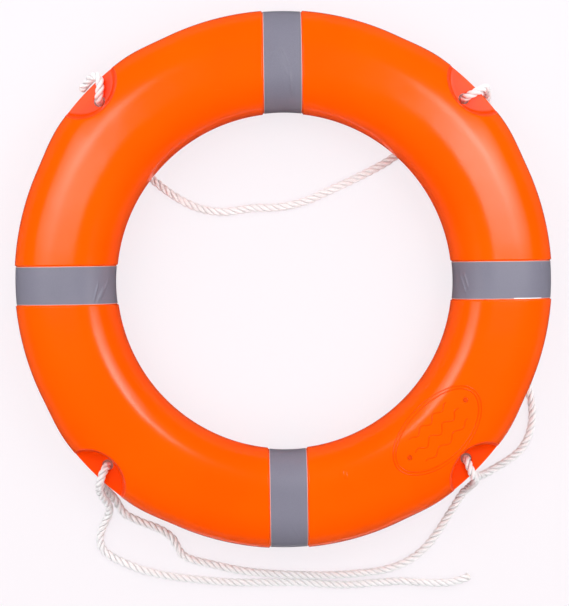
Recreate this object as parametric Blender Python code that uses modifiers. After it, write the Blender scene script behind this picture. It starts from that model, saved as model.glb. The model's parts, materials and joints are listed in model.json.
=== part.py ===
"""A life ring: a hollow moulded ring filled with foam, reflective tapes in its grooves, and its grab rope.

Run it with blender --background --python part.py, or from Blender's text editor. Metres, +Z up. The origin
is on the floor below the ring's middle. The ring lies on its back on the floor, and its far side (+Y) lies
on its own rope, so the ring leans back by about a degree.
"""

import math

import bmesh
import bpy
from mathutils import Matrix, Vector

NAME = "life_ring"

# The moulded ring
OUTER_DIAMETER = 0.720
INNER_DIAMETER = 0.4505
HEIGHT = 0.105
LAND_WIDTH = 0.024  # flat band round the top and the underside, which the ring lies on
SECTION_EXPONENT = 2.2  # 2 makes the shoulders elliptical, and more makes them squarer
SHELL_WALL = 0.0025
GAP = 0.0003  # between two pieces that touch

# Grooves round the tube for the reflective tapes, at +X, +Y, -X and -Y
GROOVE_DEPTH = 0.002
TAPE_WIDTH = 0.050
TAPE_THICKNESS = 0.0005
TAPE_SIDE_GAP = 0.0006
TAPE_NAMES = ("tape_right", "tape_top", "tape_left", "tape_bottom")

# Rope eyelets: round bites out of the outer edge, with a pierced web left at mid-height
EYELET_ANGLES = {"top_right": 45.0, "top_left": 135.0, "bottom_left": 225.0, "bottom_right": 315.0}
EYELET_BULGE = 0.004  # how much further out the ring's outer edge is at the eyelets
BULGE_FLAT_ANGLE = 9.0  # degrees to either side of an eyelet over which it is that far out
BULGE_END_ANGLE = 20.0
SCOOP_RADIUS = 0.045  # at the web's faces
SCOOP_DRAFT = math.radians(11)
SCOOP_OVERHANG = 0.016  # from the web's outer edge out to the scoop's centre
WEB_THICKNESS = 0.008
EYELET_HOLE_DIAMETER = 0.015
EYELET_EDGE_DISTANCE = 0.021  # from the web's outer edge in to the hole's centre

# Plugged holes that the foam is poured and vented through, at the ends of the oval mark
PORT_DIAMETER = 0.007
PORT_CIRCLE_RADIUS = 0.2835
PORT_ANGLE = 315.4
PORT_SPACING = 0.107
PLUG_CLEARANCE = 0.0004
PLUG_RECESS = 0.0003
PLUG_HEAD_THICKNESS = 0.0022
PLUG_STEM_DIAMETER = 0.0040
PLUG_BARB_COUNT = 2
PLUG_BARB_PITCH = 0.0026

# Grab rope
ROPE_DIAMETER = 0.010
REST_ON_ROPE_Y = 0.1865  # where the left crossing passes under the inner edge of the land

# Facets
RING_STEPS = 48
SHOULDER_STEPS = 5
SCOOP_SEGMENTS = 32
HOLE_SEGMENTS = 24
PLUG_STEPS = 12
ROPE_BEVEL_RESOLUTION = 2
ROPE_MOST_STEP = 0.070
ROPE_MOST_TURN = math.radians(36)
CURVE_SAMPLES = 12
SHARP_ANGLE = math.radians(35)

# Worked out from the sizes above
OUTER_RADIUS = OUTER_DIAMETER / 2
TUBE_WIDTH = (OUTER_DIAMETER - INNER_DIAMETER) / 2
TUBE_RADIUS = OUTER_RADIUS - TUBE_WIDTH / 2
HALF_HEIGHT = HEIGHT / 2
SHOULDER_WIDTH = (TUBE_WIDTH - LAND_WIDTH) / 2
LAND_OUTER_RADIUS = TUBE_RADIUS + LAND_WIDTH / 2
SCOOP_CENTRE_RADIUS = OUTER_RADIUS + EYELET_BULGE + SCOOP_OVERHANG
EYELET_RADIUS = OUTER_RADIUS + EYELET_BULGE - EYELET_EDGE_DISTANCE
PLUG_LENGTH = PLUG_HEAD_THICKNESS + PLUG_BARB_COUNT * PLUG_BARB_PITCH
ROPE_RADIUS = ROPE_DIAMETER / 2
LEAN = math.asin((ROPE_DIAMETER + GAP) / (LAND_OUTER_RADIUS + REST_ON_ROPE_Y))
RING_CENTRE_Z = LAND_OUTER_RADIUS * math.sin(LEAN) + HALF_HEIGHT * math.cos(LEAN)
RING_PLACE = Matrix.Translation((0, 0, RING_CENTRE_Z)) @ Matrix.Rotation(LEAN, 4, "X")


def clear_scene():
    for obj in list(bpy.data.objects):
        bpy.data.objects.remove(obj, do_unlink=True)


def new_collection(name):
    made = bpy.data.collections.new(name)
    bpy.context.scene.collection.children.link(made)
    return made


def new_material(name, color, roughness):
    material = bpy.data.materials.new(name)
    material.use_nodes = True
    shader = material.node_tree.nodes["Principled BSDF"]
    shader.inputs["Base Color"].default_value = (*color, 1.0)
    shader.inputs["Roughness"].default_value = roughness
    shader.inputs["Metallic"].default_value = 0.0
    return material


clear_scene()
PARTS = new_collection(NAME)
CUTTERS = new_collection(NAME + "_cutters")
SHELL_ORANGE = new_material("shell_orange_polyethylene", (1.0, 0.135, 0.002), 0.38)
FOAM_CREAM = new_material("polyurethane_foam", (0.80, 0.66, 0.38), 0.90)
PLUG_ORANGE = new_material("plug_orange_polyethylene", (0.95, 0.12, 0.002), 0.42)
TAPE_GREY = new_material("reflective_tape_grey", (0.31, 0.31, 0.37), 0.45)
ROPE_WHITE = new_material("rope_white_polypropylene", (0.86, 0.85, 0.83), 0.60)

ring_frame = bpy.data.objects.new("ring_frame", None)
ring_frame.matrix_world = RING_PLACE
PARTS.objects.link(ring_frame)


def add_object(name, data, material=None):
    """A part if it has a material, otherwise a cutter."""
    obj = bpy.data.objects.new(name, data)
    if material:
        data.materials.append(material)
        PARTS.objects.link(obj)
    else:
        CUTTERS.objects.link(obj)
        obj.hide_render = True
        obj.display_type = "WIRE"
    return obj


def add_ring_object(name, data, material=None):
    """An object in the ring's own frame: its middle at the origin and its axis along Z."""
    obj = add_object(name, data, material)
    obj.parent = ring_frame
    return obj


def boolean(obj, other, operation="DIFFERENCE"):
    modifier = obj.modifiers.new(operation.lower() + "_" + other.name, "BOOLEAN")
    modifier.object = other
    modifier.operation = operation


def mesh_from(name, corners, faces=(), edges=()):
    mesh = bpy.data.meshes.new(name)
    mesh.from_pydata(corners, edges, faces)
    return mesh


def box(name, size, centre=(0, 0, 0), material=None):
    shape = bmesh.new()
    bmesh.ops.create_cube(shape, size=1.0, matrix=Matrix.Translation(centre) @ Matrix.Diagonal((*size, 1)))
    mesh = bpy.data.meshes.new(name)
    shape.to_mesh(mesh)
    shape.free()
    return add_ring_object(name, mesh, material)


def round_cutter(name, levels, places, segments):
    """Upright round bodies in one cutter, each at an (angle in degrees, distance from the ring's axis).

    The levels are (radius, height) from the lowest up.
    """
    corners, faces = [], []
    for angle, distance in places:
        place = Matrix.Rotation(math.radians(angle), 4, "Z") @ Matrix.Translation((distance, 0, 0))
        first = len(corners)
        for radius, height in levels:
            for step in range(segments):
                round_it = math.tau * step / segments
                corner = Vector((radius * math.cos(round_it), radius * math.sin(round_it), height))
                corners.append(place @ corner)
        faces.append([first + step for step in reversed(range(segments))])
        for level in range(first, len(corners) - segments, segments):
            for step in range(segments):
                here, ahead = level + step, level + (step + 1) % segments
                faces.append((here, ahead, ahead + segments, here + segments))
        faces.append(list(range(len(corners) - segments, len(corners))))
    return add_ring_object(name, mesh_from(name, corners, faces))


# The ring's section and the bodies turned from it


def shoulder(inset):
    """(x, z) from the land's edge down to mid-height, x from the tube's middle, moved in by inset."""
    power = 2 / SECTION_EXPONENT
    points = []
    for step in range(SHOULDER_STEPS + 1):
        angle = math.pi / 2 * (1 - step / SHOULDER_STEPS)
        across, up = max(math.cos(angle), 0.0), math.sin(angle)
        place = Vector((LAND_WIDTH / 2 + SHOULDER_WIDTH * across**power, HALF_HEIGHT * up**power))
        facing = Vector((across ** (2 - power) / SHOULDER_WIDTH, up ** (2 - power) / HALF_HEIGHT))
        points.append(place - inset * facing.normalized())
    return points


def section(inset):
    """The closed section, down its outer side and up its inner side."""
    upper = shoulder(inset)
    outer = [(TUBE_RADIUS + p.x, p.y) for p in upper]
    outer += [(TUBE_RADIUS + p.x, -p.y) for p in reversed(upper[:-1])]
    inner = [(2 * TUBE_RADIUS - x, z) for x, z in reversed(outer)]
    return outer + inner


def swell(angle):
    """How much further out the outer edge is in this direction."""
    degrees = math.degrees(angle)
    from_eyelet = min(abs((degrees - eyelet + 180) % 360 - 180) for eyelet in EYELET_ANGLES.values())
    fallen = (from_eyelet - BULGE_FLAT_ANGLE) / (BULGE_END_ANGLE - BULGE_FLAT_ANGLE)
    fallen = min(max(fallen, 0.0), 1.0)
    return EYELET_BULGE * (1 - fallen * fallen * (3 - 2 * fallen))


def turned_ring(name, inset, material=None):
    """The section carried round the ring's axis, its outer shoulder stretched at the eyelets."""
    around = section(inset)
    count = len(around)
    corners, faces = [], []
    for step in range(RING_STEPS):
        angle = math.tau * step / RING_STEPS
        stretch = 1 + swell(angle) / SHOULDER_WIDTH
        for x, z in around:
            if x > LAND_OUTER_RADIUS:
                x = LAND_OUTER_RADIUS + (x - LAND_OUTER_RADIUS) * stretch
            corners.append((x * math.cos(angle), x * math.sin(angle), z))
        here, ahead = step * count, (step + 1) % RING_STEPS * count
        for i in range(count):
            j = (i + 1) % count
            faces.append((here + i, here + j, ahead + j, ahead + i))
    return add_ring_object(name, mesh_from(name, corners, faces), material)


def grooved_ring(name, inset, material=None):
    """A ring with the four tape grooves, its skin moved in by inset all over."""
    ring = turned_ring(name, inset, material)
    groove_floor = turned_ring(name + "_groove_floor", inset + GROOVE_DEPTH)
    width = TAPE_WIDTH + 2 * (TAPE_SIDE_GAP + inset)
    for direction, size in (
        ("x", (2 * OUTER_DIAMETER, width, 2 * HEIGHT)),
        ("y", (width, 2 * OUTER_DIAMETER, 2 * HEIGHT)),
    ):
        slab = box(f"{name}_groove_{direction}", size)
        boolean(slab, groove_floor)
        boolean(ring, slab)
    return ring


def eyelet_places(distance):
    return [(angle, distance) for angle in EYELET_ANGLES.values()]


def port_places():
    half_angle = math.degrees(PORT_SPACING / 2 / PORT_CIRCLE_RADIUS)
    return [(PORT_ANGLE + side * half_angle, PORT_CIRCLE_RADIUS) for side in (-1, 1)]


def scoop_level(height, inset=0.0):
    """(radius, height) of the scoops' sloping wall at a height from mid-height, moved in by inset."""
    rise = abs(height) - WEB_THICKNESS / 2
    radius = SCOOP_RADIUS + rise * math.tan(SCOOP_DRAFT) + inset / math.cos(SCOOP_DRAFT)
    return radius, height


def filling_body(name, inset, material=None):
    """What fills the shell: the cavity at the wall's thickness in, and the foam a gap further in."""
    body = grooved_ring(name, inset, material)
    levels = [scoop_level(height, inset) for height in (-HEIGHT, 0.0, HEIGHT)]
    places = eyelet_places(SCOOP_CENTRE_RADIUS)
    boolean(body, round_cutter(name + "_scoops", levels, places, SCOOP_SEGMENTS))
    return body


# Shell: the moulded skin, with its scoops, webs, eyelet holes and ports


def make_shell():
    shell = grooved_ring("shell", 0.0, SHELL_ORANGE)
    for side, heights in (("upper", (WEB_THICKNESS / 2, HEIGHT)), ("lower", (-HEIGHT, -WEB_THICKNESS / 2))):
        levels = [scoop_level(height) for height in heights]
        places = eyelet_places(SCOOP_CENTRE_RADIUS)
        boolean(shell, round_cutter(side + "_scoops", levels, places, SCOOP_SEGMENTS))
    boolean(shell, filling_body("cavity", SHELL_WALL))
    levels = [(EYELET_HOLE_DIAMETER / 2, -WEB_THICKNESS), (EYELET_HOLE_DIAMETER / 2, WEB_THICKNESS)]
    boolean(shell, round_cutter("eyelet_holes", levels, eyelet_places(EYELET_RADIUS), HOLE_SEGMENTS))
    levels = [(PORT_DIAMETER / 2, HALF_HEIGHT - 2 * SHELL_WALL), (PORT_DIAMETER / 2, HEIGHT)]
    boolean(shell, round_cutter("ports", levels, port_places(), HOLE_SEGMENTS))
    return shell


def make_foam_core():
    foam = filling_body("foam_core", SHELL_WALL + GAP, FOAM_CREAM)
    pocket_floor = HALF_HEIGHT - PLUG_RECESS - PLUG_LENGTH - 3 * GAP
    levels = [(PORT_DIAMETER / 2, pocket_floor), (PORT_DIAMETER / 2, HEIGHT)]
    boolean(foam, round_cutter("plug_pockets", levels, port_places(), HOLE_SEGMENTS))
    return foam


# Plugs: a flat head level with the shell, over a barbed stem


def plug_profile():
    head_radius = PORT_DIAMETER / 2 - PLUG_CLEARANCE
    stem_radius = PLUG_STEM_DIAMETER / 2
    points = [(0.0, 0.0), (head_radius, 0.0), (head_radius, -PLUG_HEAD_THICKNESS)]
    depth = PLUG_HEAD_THICKNESS
    for _ in range(PLUG_BARB_COUNT):
        points.append((stem_radius, -depth))
        points.append((stem_radius, -depth - PLUG_BARB_PITCH / 3))
        points.append((head_radius, -depth - PLUG_BARB_PITCH / 2))
        depth += PLUG_BARB_PITCH
        points.append((stem_radius, -depth))
    points.append((0.0, -depth))
    return [p for i, p in enumerate(points) if i == 0 or p != points[i - 1]]


def make_plugs():
    for name, (angle, distance) in zip(("fill_plug", "vent_plug"), port_places()):
        points = plug_profile()
        edges = [(i, i + 1) for i in range(len(points) - 1)]
        profile = mesh_from(name, [(x, 0.0, z) for x, z in points], edges=edges)
        plug = add_ring_object(name, profile, PLUG_ORANGE)
        screw = plug.modifiers.new("turned", "SCREW")
        screw.steps = screw.render_steps = PLUG_STEPS
        screw.use_merge_vertices = True
        screw.merge_threshold = 0.00001
        place = Matrix.Rotation(math.radians(angle), 4, "Z") @ Vector((distance, 0, 0))
        plug.location = (place.x, place.y, HALF_HEIGHT - PLUG_RECESS)


# Reflective tapes: each goes once round the tube, on its groove's floor


def make_tapes():
    tape_outside = turned_ring("tape_outside", GROOVE_DEPTH - GAP - TAPE_THICKNESS)
    tape_inside = turned_ring("tape_inside", GROOVE_DEPTH - GAP)
    for step, name in enumerate(TAPE_NAMES):
        angle = step * math.pi / 2
        centre = Matrix.Rotation(angle, 4, "Z") @ Vector((TUBE_RADIUS, 0, 0))
        along_x = abs(math.cos(angle)) > 0.5
        across, along = 2 * TUBE_WIDTH, TAPE_WIDTH
        size = (across, along, 2 * HEIGHT) if along_x else (along, across, 2 * HEIGHT)
        tape = box(name, size, centre, TAPE_GREY)
        boolean(tape, tape_outside, "INTERSECT")
        boolean(tape, tape_inside)


# Grab rope: one rope, whose route is listed from its cut end at the top left to the end of its tail


def on_floor(x, y):
    return Vector((x, y, ROPE_RADIUS))


def at_eyelet(name, *offsets):
    """Points near an eyelet's hole: (out from the ring's axis, anticlockwise round it, up)."""
    turn_to = RING_PLACE @ Matrix.Rotation(math.radians(EYELET_ANGLES[name]), 4, "Z")
    return [turn_to @ Vector((EYELET_RADIUS + out, side, up)) for out, side, up in offsets]


ROPE_ROUTE = (
    (
        "rope_end_top_left",
        at_eyelet(
            "top_left",
            (0.0302, 0.0066, -0.0195),
            (0.0304, -0.0018, -0.0130),
            (0.0296, -0.0103, -0.0060),
            (0.0282, -0.0166, 0.0010),
            (0.0242, -0.0210, 0.0082),
            (0.0174, -0.0198, 0.0114),
            (0.0108, -0.0138, 0.0122),
            (0.0044, -0.0046, 0.0098),
            (0.0012, -0.0010, 0.0042),
            (0.0008, 0.0000, -0.0060),
            (0.0024, 0.0000, -0.0190),
            (0.0030, 0.0000, -0.0310),
            (0.0008, 0.0000, -0.0420),
        )
        + [
            Vector((-0.2390, 0.2335, 0.0095)),
            on_floor(-0.2305, 0.2235),
            on_floor(-0.2277, 0.2192),
        ],
    ),
    (
        "rope_crossing_left",
        [
            on_floor(-0.2277, 0.2192),
            on_floor(-0.2248, 0.2148),
            on_floor(-0.1828, 0.1469),
            on_floor(-0.1781, 0.1428),
        ],
    ),
    (
        "rope_loop_top",
        [
            on_floor(-0.1781, 0.1428),
            on_floor(-0.1729, 0.1382),
            on_floor(-0.1541, 0.1236),
            on_floor(-0.1328, 0.1106),
            on_floor(-0.1070, 0.1009),
            on_floor(-0.0796, 0.0980),
            on_floor(-0.0438, 0.1028),
            on_floor(-0.0053, 0.1039),
            on_floor(0.0279, 0.1110),
            on_floor(0.0584, 0.1236),
            on_floor(0.0890, 0.1373),
            on_floor(0.1195, 0.1518),
            on_floor(0.1415, 0.1634),
            on_floor(0.1493, 0.1685),
        ],
    ),
    (
        "rope_crossing_right",
        [
            on_floor(0.1493, 0.1685),
            on_floor(0.1570, 0.1737),
            on_floor(0.2185, 0.2190),
            on_floor(0.2240, 0.2232),
        ],
    ),
    (
        "rope_loop_right",
        [
            on_floor(0.2240, 0.2232),
            on_floor(0.2285, 0.2268),
            Vector((0.2370, 0.2344, 0.0095)),
        ]
        + at_eyelet(
            "top_right",
            (0.0008, 0.0000, -0.0420),
            (0.0030, 0.0000, -0.0310),
            (0.0024, 0.0000, -0.0190),
            (0.0008, 0.0000, -0.0060),
            (0.0012, 0.0002, 0.0042),
            (0.0042, -0.0010, 0.0094),
            (0.0100, -0.0031, 0.0119),
            (0.0179, -0.0059, 0.0118),
            (0.0250, -0.0083, 0.0085),
            (0.0304, -0.0100, 0.0012),
            (0.0310, -0.0150, -0.0085),
            (0.0288, -0.0205, -0.0205),
        )
        + [
            Vector((0.2810, 0.2230, 0.0215)),
            Vector((0.2895, 0.2105, 0.0100)),
            on_floor(0.2985, 0.1955),
            on_floor(0.3120, 0.1700),
            on_floor(0.3270, 0.1380),
            on_floor(0.3405, 0.0980),
            on_floor(0.3490, 0.0550),
            on_floor(0.3520, 0.0080),
            on_floor(0.3510, -0.0400),
            on_floor(0.3475, -0.0830),
            on_floor(0.3415, -0.1200),
            on_floor(0.3379, -0.1487),
            on_floor(0.3417, -0.1683),
            on_floor(0.3433, -0.1866),
            on_floor(0.3414, -0.2055),
            on_floor(0.3354, -0.2237),
            on_floor(0.3226, -0.2415),
            on_floor(0.3065, -0.2533),
            on_floor(0.2940, -0.2605),
        ],
    ),
    (
        "rope_loop_bottom",
        [
            on_floor(0.2940, -0.2605),
            on_floor(0.2841, -0.2661),
            Vector((0.2742, -0.2707, 0.0090)),
        ]
        + at_eyelet(
            "bottom_right",
            (0.0370, -0.0055, -0.0355),
            (0.0271, -0.0073, -0.0262),
            (0.0188, -0.0056, -0.0192),
            (0.0096, -0.0034, -0.0145),
            (0.0040, -0.0014, -0.0095),
            (0.0014, -0.0004, -0.0030),
            (0.0016, -0.0006, 0.0045),
            (0.0038, -0.0020, 0.0094),
            (0.0088, -0.0046, 0.0120),
            (0.0148, -0.0073, 0.0122),
            (0.0218, -0.0095, 0.0103),
            (0.0272, -0.0112, 0.0046),
            (0.0313, -0.0125, -0.0040),
            (0.0345, -0.0147, -0.0130),
            (0.0367, -0.0177, -0.0225),
        )
        + [
            Vector((0.2537, -0.2848, 0.0205)),
            Vector((0.2509, -0.2899, 0.0100)),
            on_floor(0.2454, -0.2956),
            on_floor(0.2291, -0.3204),
            on_floor(0.2112, -0.3476),
            on_floor(0.1927, -0.3712),
            on_floor(0.1740, -0.3866),
            on_floor(0.1508, -0.3980),
            on_floor(0.1241, -0.4044),
            on_floor(0.0877, -0.4076),
            on_floor(0.0429, -0.4087),
            on_floor(0.0010, -0.4065),
            on_floor(-0.0379, -0.4035),
            on_floor(-0.0705, -0.3988),
            on_floor(-0.1090, -0.3894),
            on_floor(-0.1348, -0.3825),
            on_floor(-0.1477, -0.3755),
            on_floor(-0.1544, -0.3647),
            on_floor(-0.1605, -0.3528),
            on_floor(-0.1707, -0.3437),
            on_floor(-0.1865, -0.3355),
            on_floor(-0.2024, -0.3294),
            on_floor(-0.2130, -0.3244),
        ],
    ),
    (
        "rope_tail",
        [
            on_floor(-0.2130, -0.3244),
            on_floor(-0.2228, -0.3192),
            Vector((-0.2305, -0.3109, 0.0070)),
            Vector((-0.2349, -0.3012, 0.0100)),
            Vector((-0.2403, -0.2918, 0.0150)),
            Vector((-0.2463, -0.2836, 0.0215)),
        ]
        + at_eyelet(
            "bottom_left",
            (0.0289, 0.0175, -0.0225),
            (0.0231, 0.0102, -0.0178),
            (0.0162, 0.0046, -0.0152),
            (0.0092, 0.0042, -0.0138),
            (0.0040, 0.0018, -0.0095),
            (0.0014, 0.0006, -0.0030),
            (0.0014, 0.0004, 0.0045),
            (0.0042, 0.0009, 0.0094),
            (0.0098, 0.0024, 0.0120),
            (0.0161, 0.0048, 0.0122),
            (0.0222, 0.0079, 0.0100),
            (0.0281, 0.0112, 0.0042),
            (0.0335, 0.0153, -0.0040),
            (0.0376, 0.0211, -0.0115),
            (0.0406, 0.0284, -0.0190),
        )
        + [
            Vector((-0.2473, -0.2988, 0.0250)),
            Vector((-0.2459, -0.3073, 0.0165)),
            Vector((-0.2476, -0.3160, 0.0095)),
            Vector((-0.2515, -0.3243, 0.0058)),
            on_floor(-0.2556, -0.3327),
            on_floor(-0.2594, -0.3418),
            on_floor(-0.2607, -0.3519),
            on_floor(-0.2595, -0.3611),
            on_floor(-0.2547, -0.3685),
            on_floor(-0.2439, -0.3771),
            on_floor(-0.2288, -0.3849),
            on_floor(-0.2052, -0.3950),
            on_floor(-0.1726, -0.4038),
            on_floor(-0.1238, -0.4113),
            on_floor(-0.0757, -0.4159),
            on_floor(-0.0270, -0.4169),
            on_floor(0.0148, -0.4179),
            on_floor(0.0539, -0.4211),
            on_floor(0.0805, -0.4225),
            on_floor(0.1155, -0.4209),
            on_floor(0.1520, -0.4194),
            on_floor(0.1787, -0.4209),
            on_floor(0.2082, -0.4231),
            on_floor(0.2336, -0.4212),
            on_floor(0.2541, -0.4138),
        ],
    ),
)


def smooth_span(before, start, end, after):
    """Samples from start up to end, on a centripetal Catmull-Rom curve through the four points."""
    knots = [0.0]
    for a, b in ((before, start), (start, end), (end, after)):
        knots.append(knots[-1] + math.sqrt((b - a).length))
    first, last = knots[1], knots[2]

    def mix(a, b, low, high, at):
        return a.lerp(b, (at - low) / (high - low))

    samples = []
    for step in range(CURVE_SAMPLES):
        at = first + (last - first) * step / CURVE_SAMPLES
        a = mix(before, start, knots[0], first, at)
        b = mix(start, end, first, last, at)
        c = mix(end, after, last, knots[3], at)
        samples.append(mix(mix(a, b, knots[0], last, at), mix(b, c, first, knots[3], at), first, last, at))
    return samples


def rope_samples():
    """Close samples of one smooth curve through the whole route, and where among them its stretches end."""
    points = [ROPE_ROUTE[0][1][0]]
    ends = []
    for _, route in ROPE_ROUTE:
        points += route[1:]
        ends.append((len(points) - 1) * CURVE_SAMPLES)
    padded = [2 * points[0] - points[1]] + points + [2 * points[-1] - points[-2]]
    samples = []
    for span in range(len(points) - 1):
        samples += smooth_span(*padded[span : span + 4])
    samples.append(points[-1])
    for sample in samples:
        sample.z = max(sample.z, ROPE_RADIUS)
    return samples, ends[:-1]


def thinned(samples, ends):
    """The numbers of the samples to keep: closer together in the bends, and none in a run that is cut."""
    kept = [0]
    length, turned = 0.0, 0.0
    for number in range(1, len(samples) - 1):
        here = samples[number] - samples[number - 1]
        ahead = samples[number + 1] - samples[number]
        length += here.length
        turned += here.angle(ahead, 0.0)
        from_end = min(abs(number - end) for end in ends)
        long_enough = length > ROPE_MOST_STEP or turned > ROPE_MOST_TURN
        if from_end == CURVE_SAMPLES or (from_end > CURVE_SAMPLES and long_enough):
            kept.append(number)
            length, turned = 0.0, 0.0
    return kept + [len(samples) - 1]


def rope_stretches():
    """The points of each stretch. Two stretches meet face to face, where the route runs straight."""
    samples, ends = rope_samples()
    stretches, points = [], []
    for number in sorted(thinned(samples, ends) + ends):
        if number in ends:
            ahead, behind = samples[number + CURVE_SAMPLES], samples[number - CURVE_SAMPLES]
            half_gap = (ahead - behind).normalized() * GAP / 2
            stretches.append(points + [samples[number] - half_gap])
            points = [samples[number] + half_gap]
        else:
            points.append(samples[number])
    return stretches + [points]


def make_rope():
    for (name, _), points in zip(ROPE_ROUTE, rope_stretches()):
        curve = bpy.data.curves.new(name, "CURVE")
        curve.dimensions = "3D"
        curve.bevel_depth = ROPE_RADIUS
        curve.bevel_resolution = ROPE_BEVEL_RESOLUTION
        curve.use_fill_caps = True
        spline = curve.splines.new("POLY")
        spline.points.add(len(points) - 1)
        for place, point in zip(points, spline.points):
            point.co = (*place, 1.0)
        add_object(name, curve, ROPE_WHITE)


def keep_as_meshes():
    """Each turned or cut part becomes the mesh that its modifiers make, smooth but for its sharp edges."""
    bpy.context.view_layer.update()
    graph = bpy.context.evaluated_depsgraph_get()
    cut = [obj for obj in PARTS.objects if obj.type == "MESH"]
    made = [bpy.data.meshes.new_from_object(obj.evaluated_get(graph)) for obj in cut]
    for obj, mesh in zip(cut, made):
        obj.modifiers.clear()
        obj.data = mesh
        mesh.shade_smooth()
        mesh.set_sharp_from_angle(angle=SHARP_ANGLE)


make_shell()
make_foam_core()
make_plugs()
make_tapes()
make_rope()
keep_as_meshes()
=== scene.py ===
"""Looks of the life ring: fine shell, reflective tapes, plugs, oval mark and three-strand rope, with
their materials, on a pale floor seen from above. Metres, in the frame of the CAD model."""

import json
import math

import bmesh
import bpy
import numpy as np
from mathutils import Matrix, Vector

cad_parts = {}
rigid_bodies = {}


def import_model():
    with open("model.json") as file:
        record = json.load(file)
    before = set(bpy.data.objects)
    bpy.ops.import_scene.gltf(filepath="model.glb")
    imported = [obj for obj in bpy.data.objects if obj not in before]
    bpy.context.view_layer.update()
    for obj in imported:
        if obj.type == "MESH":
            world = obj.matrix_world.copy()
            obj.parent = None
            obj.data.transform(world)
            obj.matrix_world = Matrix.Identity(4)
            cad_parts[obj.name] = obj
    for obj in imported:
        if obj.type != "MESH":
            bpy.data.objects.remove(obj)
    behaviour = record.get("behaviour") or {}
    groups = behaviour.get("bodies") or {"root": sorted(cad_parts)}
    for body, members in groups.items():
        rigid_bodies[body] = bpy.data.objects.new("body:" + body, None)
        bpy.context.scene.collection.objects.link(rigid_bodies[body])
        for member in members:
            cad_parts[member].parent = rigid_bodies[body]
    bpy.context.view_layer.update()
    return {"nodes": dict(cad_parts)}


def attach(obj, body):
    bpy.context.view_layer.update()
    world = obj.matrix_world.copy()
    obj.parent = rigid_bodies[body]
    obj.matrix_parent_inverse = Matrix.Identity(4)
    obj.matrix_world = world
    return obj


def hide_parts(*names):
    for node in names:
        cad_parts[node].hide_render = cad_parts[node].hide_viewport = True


for spare in list(bpy.data.objects):
    bpy.data.objects.remove(spare, do_unlink=True)
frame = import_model()

# Sizes of the ring, as in the CAD model
OUTER_RADIUS = 0.360
INNER_RADIUS = 0.22525
HALF_HEIGHT = 0.0525
LAND_WIDTH = 0.024
SECTION_EXPONENT = 2.2
TUBE_RADIUS = (OUTER_RADIUS + INNER_RADIUS) / 2
SHOULDER_WIDTH = (OUTER_RADIUS - INNER_RADIUS - LAND_WIDTH) / 2
GAP = 0.0003
GROOVE_DEPTH = 0.002
TAPE_WIDTH = 0.050
TAPE_THICKNESS = 0.0005
EYELET_BULGE = 0.004
BULGE_FLAT_ANGLE = math.radians(9)
BULGE_END_ANGLE = math.radians(20)
SCOOP_RADIUS = 0.045
SCOOP_DRAFT = math.radians(11)
SCOOP_CENTRE_RADIUS = OUTER_RADIUS + EYELET_BULGE + 0.016
HALF_WEB = 0.004
EYELET_HOLE_RADIUS = 0.0075
EYELET_RADIUS = OUTER_RADIUS + EYELET_BULGE - 0.021
EYELET_ANGLES = {"top_right": 45.0, "top_left": 135.0, "bottom_left": 225.0, "bottom_right": 315.0}
PORT_RADIUS = 0.0035
PLUG_CLEARANCE = 0.0004
PLUG_RADIUS = PORT_RADIUS - PLUG_CLEARANCE
PLUG_RECESS = 0.0003
PORT_CIRCLE_RADIUS = 0.2835
PORT_ANGLE = 315.4
PORT_SPACING = 0.107
ROPE_DIAMETER = 0.010
ROPE_RADIUS = ROPE_DIAMETER / 2
REST_ON_ROPE_Y = 0.1865

LAND_OUTER_RADIUS = TUBE_RADIUS + LAND_WIDTH / 2
LEAN = math.asin((ROPE_DIAMETER + GAP) / (LAND_OUTER_RADIUS + REST_ON_ROPE_Y))
RING_CENTRE_Z = LAND_OUTER_RADIUS * math.sin(LEAN) + HALF_HEIGHT * math.cos(LEAN)
RING_PLACE = Matrix.Translation((0, 0, RING_CENTRE_Z)) @ Matrix.Rotation(LEAN, 4, "X")

# Details that only the visual model has
GROOVE_HALF_WIDTH = 0.0264
GROOVE_LIP = 0.0018
LEAST_FIELD_SLOPE = 5.0
EDGE_ROUNDING = 0.0015
CORNER_ROUNDING = 0.0020
SEAM_HEIGHT = 0.0003
SEAM_HALF_WIDTH = 0.0007
HOLE_LIP = 0.0008
HOLE_SIDES = 72
LIP_STEPS = 6
SHARP_ANGLE = math.radians(40)
PORT_LIP = 0.0005
PORT_DEPTH = 0.004
PORT_SIDES = 48
PLUG_RIM = 0.0003
PLUG_INNERMOST = 0.0002
PLUG_PIT_RADIUS = 0.0009
PLUG_PIT_DEPTH = 0.0012
PLUG_VISIBLE_DEPTH = 0.003

# The mesh's lines run parallel to a tape's middle up to this distance from it, and then turn radial
PARALLEL_HALF_WIDTH = 0.0310
PARALLEL_ANGLE = math.asin(PARALLEL_HALF_WIDTH / TUBE_RADIUS)
PARALLEL_FADE_ANGLE = math.radians(25)

TAPE_LAP_THICKNESS = 0.0004
TAPE_EDGE_ROUNDING = 0.00012
TAPE_BORDER = 0.0008
TAPE_BACKING = 0.0013
# Mesh lines near a tape's edge, by their distance from it, and those between them
TAPE_RIM = (0.0, TAPE_BORDER / 2, TAPE_BORDER, 0.0010, TAPE_BACKING, 0.0014)
TAPE_PLAIN_HALF_WIDTH = 0.0235
TAPE_PLAIN_LINES = 33
TAPE_STEPS = 480
TAPE_SHARP_ANGLE = math.radians(45)
TOLERANCE = 0.00005
# Where the right tape's lower border has lifted and shows its white backing, in degrees round the tube
LIFTED_BORDER = (41, 80)
# A tape's end laps over its start: degrees round the tube, and the ramps at both ends in radians
LAP_START = 202
LAP_END = 224
LAP_RAMP = 0.01
# Each crease fades out over this share of its length at both ends
CREASE_FADE = 0.25
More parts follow.
